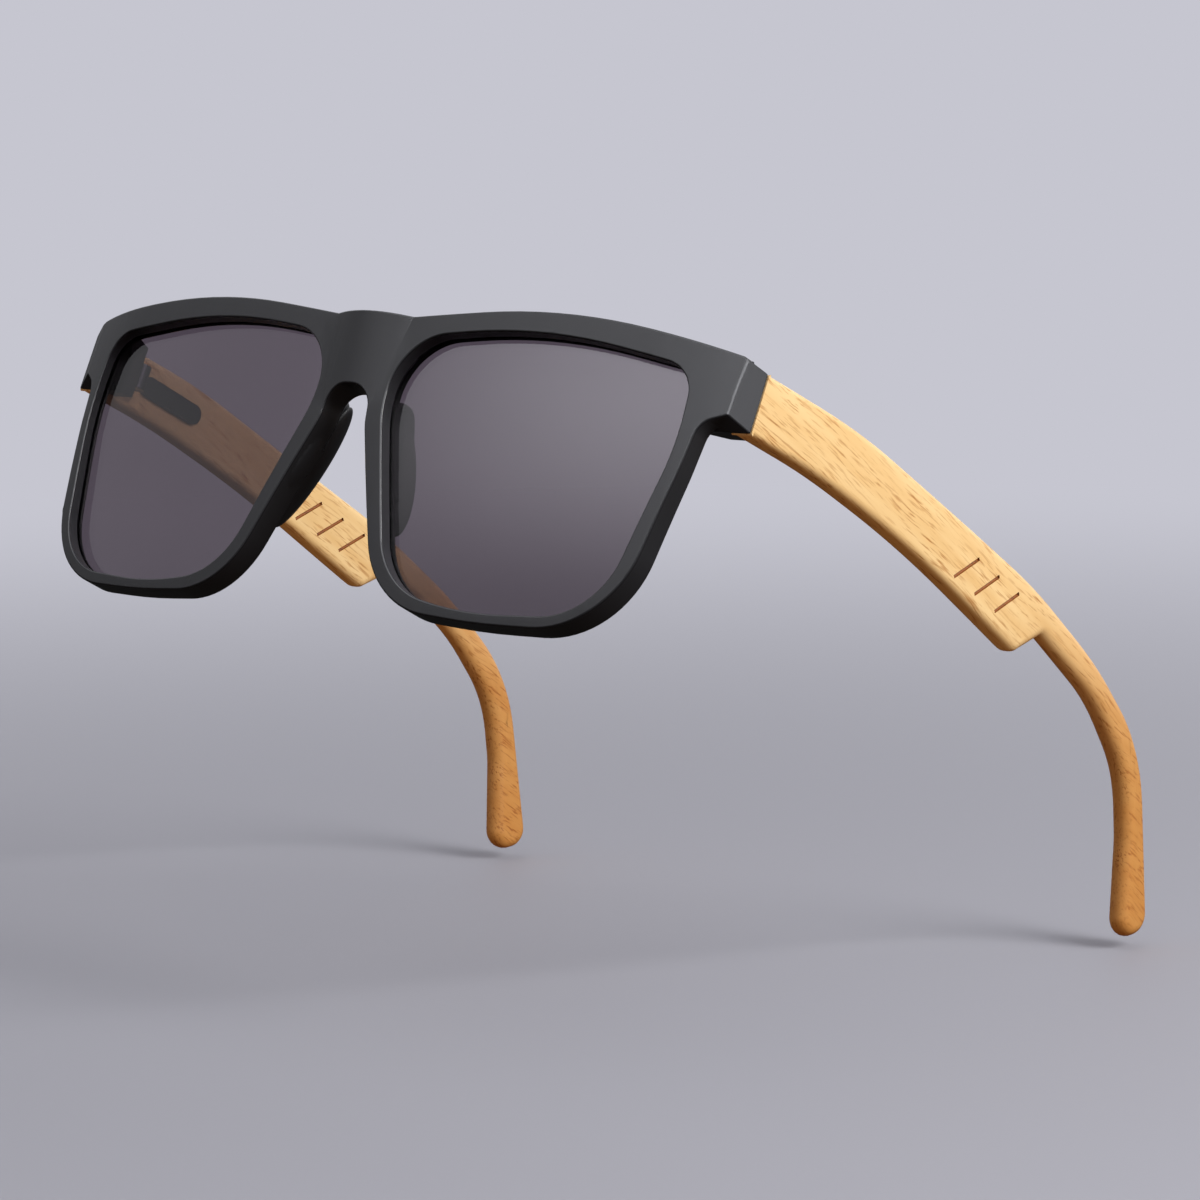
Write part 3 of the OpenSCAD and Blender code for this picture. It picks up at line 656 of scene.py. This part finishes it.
def floor_finish(stage):
    """Paper: pale, matte and lit alike where it slopes, fading into the backdrop, clear from behind."""
    material, tree, out = blank("pale_paper")
    tilt = put(tree, "ShaderNodeCombineXYZ", {"X": LEAN.x, "Y": LEAN.y, "Z": LEAN.z})
    paper = put(tree, "ShaderNodeBsdfPrincipled", {
        "Base Color": linear(stage.floor), "Roughness": 0.7, "Normal": tilt.outputs["Vector"]})
    wall = put(tree, "ShaderNodeEmission", {"Color": linear(stage.backdrop), "Strength": 1.0})
    place = put(tree, "ShaderNodeTexCoord")
    reach = put(tree, "ShaderNodeVectorMath", {0: place.outputs["Object"]}, operation="LENGTH")
    far = put(tree, "ShaderNodeMapRange", {
        "Value": reach.outputs["Value"], "From Min": FADE_FROM, "From Max": FADE_TO},
        interpolation_type="SMOOTHSTEP")
    front = put(tree, "ShaderNodeMixShader", {
        0: far.outputs["Result"], 1: paper.outputs["BSDF"], 2: wall.outputs["Emission"]})
    clear = put(tree, "ShaderNodeBsdfTransparent")
    facing = put(tree, "ShaderNodeNewGeometry")
    both = put(tree, "ShaderNodeMixShader", {
        0: facing.outputs["Backfacing"], 1: front.outputs["Shader"], 2: clear.outputs["BSDF"]})
    tree.links.new(both.outputs["Shader"], out.inputs["Surface"])
    return material


def soft_light(name, place, aim, size, power):
    """A flat studio lamp, so wide and high, that points at the aim."""
    lamp = bpy.data.lights.new(name, "AREA")
    lamp.shape = "RECTANGLE"
    lamp.size, lamp.size_y = size
    lamp.energy = power
    held = bpy.data.objects.new(name, lamp)
    held.location = place
    held.rotation_euler = (Vector(aim) - Vector(place)).to_track_quat("-Z", "Y").to_euler()
    bpy.context.scene.collection.objects.link(held)


def eased_along(tree, axis, stretch, levels):
    """A world value that goes softly from the first level to the second over a stretch of a direction."""
    direction = put(tree, "ShaderNodeTexCoord")
    along = put(tree, "ShaderNodeVectorMath", {
        0: direction.outputs["Generated"], 1: axis}, operation="DOT_PRODUCT")
    return put(tree, "ShaderNodeMapRange", {
        "Value": along.outputs["Value"], "From Min": stretch[0], "From Max": stretch[1],
        "To Min": levels[0], "To Max": levels[1]}, interpolation_type="SMOOTHSTEP").outputs["Result"]


def studio_world(stage):
    """A pale wall, cool light from above and warm from below; gloss sees a ceiling, a window and a strip."""
    world = bpy.data.worlds.new("studio")
    world.use_nodes = True
    tree = world.node_tree
    tree.nodes.clear()
    cool = shaded("#FFFFFF", COOL)
    grows = (0.0, 1.0)
    rays = put(tree, "ShaderNodeLightPath")
    shown = put(tree, "ShaderNodeBackground", {"Color": linear(stage.backdrop), "Strength": 1.0})
    bounce = put(tree, "ShaderNodeMix", {
        "Factor": eased_along(tree, LEAN, TINT_STRETCH, grows), "A": shaded("#FFFFFF", WARM), "B": cool},
        data_type="RGBA")
    lit = put(tree, "ShaderNodeBackground", {
        "Color": bounce.outputs[2], "Strength": eased_along(tree, LEAN, ROOM_STRETCH, ROOM_LEVELS)})
    ceiling = put(tree, "ShaderNodeMath", {
        0: eased_along(tree, LEAN, GLOSS_STRETCH, GLOSS_LEVELS),
        1: eased_along(tree, UP, CEILING_STRETCH, CEILING_LEVELS)}, operation="ADD")
    window = put(tree, "ShaderNodeMath", {
        0: eased_along(tree, WINDOW_SIDE, WINDOW_EDGE, (0.0, stage.window)),
        1: eased_along(tree, UP, WINDOW_SILL, grows)}, operation="MULTIPLY")
    window = put(tree, "ShaderNodeMath", {
        0: window.outputs[0], 1: eased_along(tree, LEFT, WINDOW_CURTAIN, CURTAIN_LEVELS)},
        operation="MULTIPLY")
    window = put(tree, "ShaderNodeMath", {
        0: window.outputs[0], 1: eased_along(tree, FRONT, WINDOW_FRONT, grows), 2: ceiling.outputs[0]},
        operation="MULTIPLY_ADD")
    strip = put(tree, "ShaderNodeMath", {
        0: eased_along(tree, STRIP_SIDE, STRIP_RISE, (0.0, stage.strip)),
        1: eased_along(tree, STRIP_SIDE, STRIP_FALL, (1.0, 0.0))}, operation="MULTIPLY")
    strip = put(tree, "ShaderNodeMath", {
        0: strip.outputs[0], 1: eased_along(tree, UP, STRIP_FOOT, FOOT_LEVELS)}, operation="MULTIPLY")
    strip = put(tree, "ShaderNodeMath", {
        0: strip.outputs[0], 1: eased_along(tree, FRONT, STRIP_FRONT, grows), 2: window.outputs[0]},
        operation="MULTIPLY_ADD")
    mirrored = put(tree, "ShaderNodeBackground", {"Color": cool, "Strength": strip.outputs[0]})
    glossy = put(tree, "ShaderNodeMixShader", {
        0: rays.outputs["Is Glossy Ray"], 1: shown.outputs[0], 2: mirrored.outputs[0]})
    mixed = put(tree, "ShaderNodeMixShader", {
        0: rays.outputs["Is Diffuse Ray"], 1: glossy.outputs[0], 2: lit.outputs[0]})
    put(tree, "ShaderNodeOutputWorld", {"Surface": mixed.outputs[0]})
    return world


class SUNGLASSES_OT_stage(bpy.types.Operator):
    """Set up the camera, floor, backdrop and lights"""
    bl_idname = "sunglasses.stage"
    bl_label = "Stage and camera"

    def execute(self, context):
        scene = context.scene
        stage = scene.sunglasses_stage
        a, e, r = stage.azimuth, stage.elevation, stage.roll
        back = Vector((math.sin(a) * math.cos(e), -math.cos(a) * math.cos(e), math.sin(e)))
        level = Vector(UP).cross(back).normalized()
        upright = back.cross(level)
        right = level * math.cos(r) + upright * math.sin(r)
        up = upright * math.cos(r) - level * math.sin(r)
        aim = Vector((0, AIM_Y + ZERO_Y, ZERO_Z)) + right * AIM_RIGHT - up * AIM_DOWN
        camera = bpy.data.objects.new("camera", bpy.data.cameras.new("camera"))
        turn = Matrix((right, up, back)).transposed().to_4x4()
        camera.matrix_world = Matrix.Translation(aim * MM + back * stage.distance) @ turn
        camera.data.sensor_width = 36
        camera.data.lens = stage.lens
        camera.data.clip_end = 50
        scene.collection.objects.link(camera)
        scene.camera = camera
        paper = floor_finish(stage)
        floor = stage_plane("floor", FLOOR_SIDE, (0, 0, 0), UP, paper)
        slope = stage_plane("sloping_floor", SLOPE_SIDE, SLOPE_AT, LEAN, paper)
        for plane in (floor, slope):
            plane.visible_diffuse = False
            plane.visible_glossy = False
        slope.visible_shadow = False
        scene.world = studio_world(stage)
        soft_light("key", KEY_AT, KEY_AIM, KEY_SIZE, KEY_POWER)
        scene.view_settings.view_transform = "Standard"
        return {"FINISHED"}


class SUNGLASSES_PT_panel(bpy.types.Panel):
    """Sizes, colours and steps of the sunglasses"""
    bl_idname = "SUNGLASSES_PT_panel"
    bl_label = "Sunglasses"
    bl_space_type = "VIEW_3D"
    bl_region_type = "UI"
    bl_category = "Sunglasses"

    def draw(self, context):
        scene = context.scene
        for group in (scene.sunglasses_finish, scene.sunglasses_shape, scene.sunglasses_stage):
            for name in group.__annotations__:
                self.layout.prop(group, name)
        for operator in OPERATORS:
            self.layout.operator(operator.bl_idname)


OPERATORS = (
    SUNGLASSES_OT_stage, SUNGLASSES_OT_front, SUNGLASSES_OT_lenses, SUNGLASSES_OT_temples,
    SUNGLASSES_OT_hinges, SUNGLASSES_OT_springs)
CLASSES = (FinishSettings, ShapeSettings, StageSettings) + OPERATORS + (SUNGLASSES_PT_panel,)


def register():
    """Add the classes and their settings to Blender."""
    for item in CLASSES:
        bpy.utils.register_class(item)
    bpy.types.Scene.sunglasses_finish = bpy.props.PointerProperty(type=FinishSettings)
    bpy.types.Scene.sunglasses_shape = bpy.props.PointerProperty(type=ShapeSettings)
    bpy.types.Scene.sunglasses_stage = bpy.props.PointerProperty(type=StageSettings)


def unregister():
    """Take them out again."""
    del bpy.types.Scene.sunglasses_stage
    del bpy.types.Scene.sunglasses_shape
    del bpy.types.Scene.sunglasses_finish
    for item in reversed(CLASSES):
        bpy.utils.unregister_class(item)


def main():
    """Make every piece and the stage."""
    register()
    bpy.ops.sunglasses.stage()
    bpy.ops.sunglasses.front()
    bpy.ops.sunglasses.lenses()
    bpy.ops.sunglasses.temples()
    bpy.ops.sunglasses.hinges()
    bpy.ops.sunglasses.springs()


if __name__ == "__main__":
    main()
